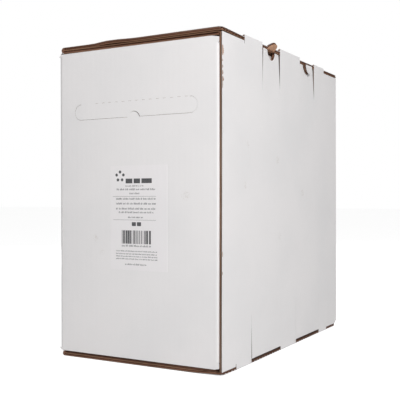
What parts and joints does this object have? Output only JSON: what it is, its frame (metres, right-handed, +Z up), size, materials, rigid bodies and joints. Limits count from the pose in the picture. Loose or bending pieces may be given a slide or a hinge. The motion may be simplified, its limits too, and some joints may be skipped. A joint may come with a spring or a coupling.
{
  "type": "cable spool box",
  "caption": "Tall corrugated carton with a hinged side lid, push-in front slot and lock flaps, holding a cable reel on an axle.",
  "frame": {"origin": "middle of the carton's footprint, on the floor", "axes": "+Z up, +X to the right of the front panel, towards the panel with the lock flaps, +Y to the back"},
  "size_m": [0.2507, 0.3902, 0.4065],
  "materials": {
    "white_board": "matte",
    "kraft_board": "matte",
    "label_paper": "satin",
    "plywood": "matte",
    "core_card": "matte",
    "cable_jacket": "satin",
    "axle_plastic": "matte",
    "bush_plastic": "satin",
    "zinc_steel": "satin"
  },
  "bodies": {
    "carton": {"right_panel": "white_board", "back_panel": "white_board", "top_outer_wall": "white_board", "top_inner_wall": "white_board", "bottom_outer_wall": "white_board", "bottom_inner_wall": "white_board", "top_dust_flap": "white_board", "bottom_dust_flap": "white_board", "left_support_board": "kraft_board", "right_support_board": "kraft_board", "left_support_bush": "bush_plastic", "right_support_bush": "bush_plastic", "axle_tube": "axle_plastic"},
    "lid": {"left_panel": "white_board"},
    "front": {"front_panel": "white_board", "label": "label_paper"},
    "tuck": {"tuck_flap": "white_board"},
    "slot_door": {"slot_flap": "white_board"},
    "front_top_lock": {"front_top_lock_flap": "white_board"},
    "rear_top_lock": {"rear_top_lock_flap": "white_board"},
    "front_bottom_lock": {"front_bottom_lock_flap": "white_board"},
    "rear_bottom_lock": {"rear_bottom_lock_flap": "white_board"},
    "reel": {"left_reel_flange": "plywood", "right_reel_flange": "plywood", "left_reel_bush": "bush_plastic", "right_reel_bush": "bush_plastic", "core_tube": "core_card", "wound_cable": "cable_jacket", "tie_bolts": "zinc_steel", "washers": "zinc_steel", "nuts": "zinc_steel"}
  },
  "joints": [
    {"name": "lid_swing", "type": "hinge", "parent": "carton", "child": "lid", "pos_m": [-0.12, 0.191, 0.2], "axis": [0, 0, -1], "range_deg": [0, 110]},
    {"name": "front_swing", "type": "hinge", "parent": "lid", "child": "front", "pos_m": [-0.12, -0.191, 0.2], "axis": [0, 0, -1], "range_deg": [0, 110]},
    {"name": "tuck_fold", "type": "hinge", "parent": "front", "child": "tuck", "pos_m": [0.1117, -0.191, 0.2], "axis": [0, 0, 1], "range_deg": [0, 88]},
    {"name": "slot_push", "type": "hinge", "parent": "front", "child": "slot_door", "pos_m": [-0.001, -0.191, 0.324], "axis": [1, 0, 0], "range_deg": [0, 90]},
    {"name": "reel_spin", "type": "hinge", "parent": "carton", "child": "reel", "pos_m": [0, 0, 0.1994], "axis": [1, 0, 0], "continuous": true},
    {"name": "front_top_lock_swing", "type": "hinge", "parent": "carton", "child": "front_top_lock", "pos_m": [0.12, -0.056, 0.344], "axis": [0, 1, 0], "range_deg": [0, 35]},
    {"name": "rear_top_lock_swing", "type": "hinge", "parent": "carton", "child": "rear_top_lock", "pos_m": [0.12, 0.07, 0.344], "axis": [0, 1, 0], "range_deg": [0, 35]},
    {"name": "front_bottom_lock_swing", "type": "hinge", "parent": "carton", "child": "front_bottom_lock", "pos_m": [0.12, -0.073, 0.0574], "axis": [0, -1, 0], "range_deg": [0, 30]},
    {"name": "rear_bottom_lock_swing", "type": "hinge", "parent": "carton", "child": "rear_bottom_lock", "pos_m": [0.12, 0.07, 0.0574], "axis": [0, -1, 0], "range_deg": [0, 30]}
  ],
  "couplings": [
    {"joint": "tuck_fold", "follows": "front_swing", "ratio": 0.8}
  ]
}
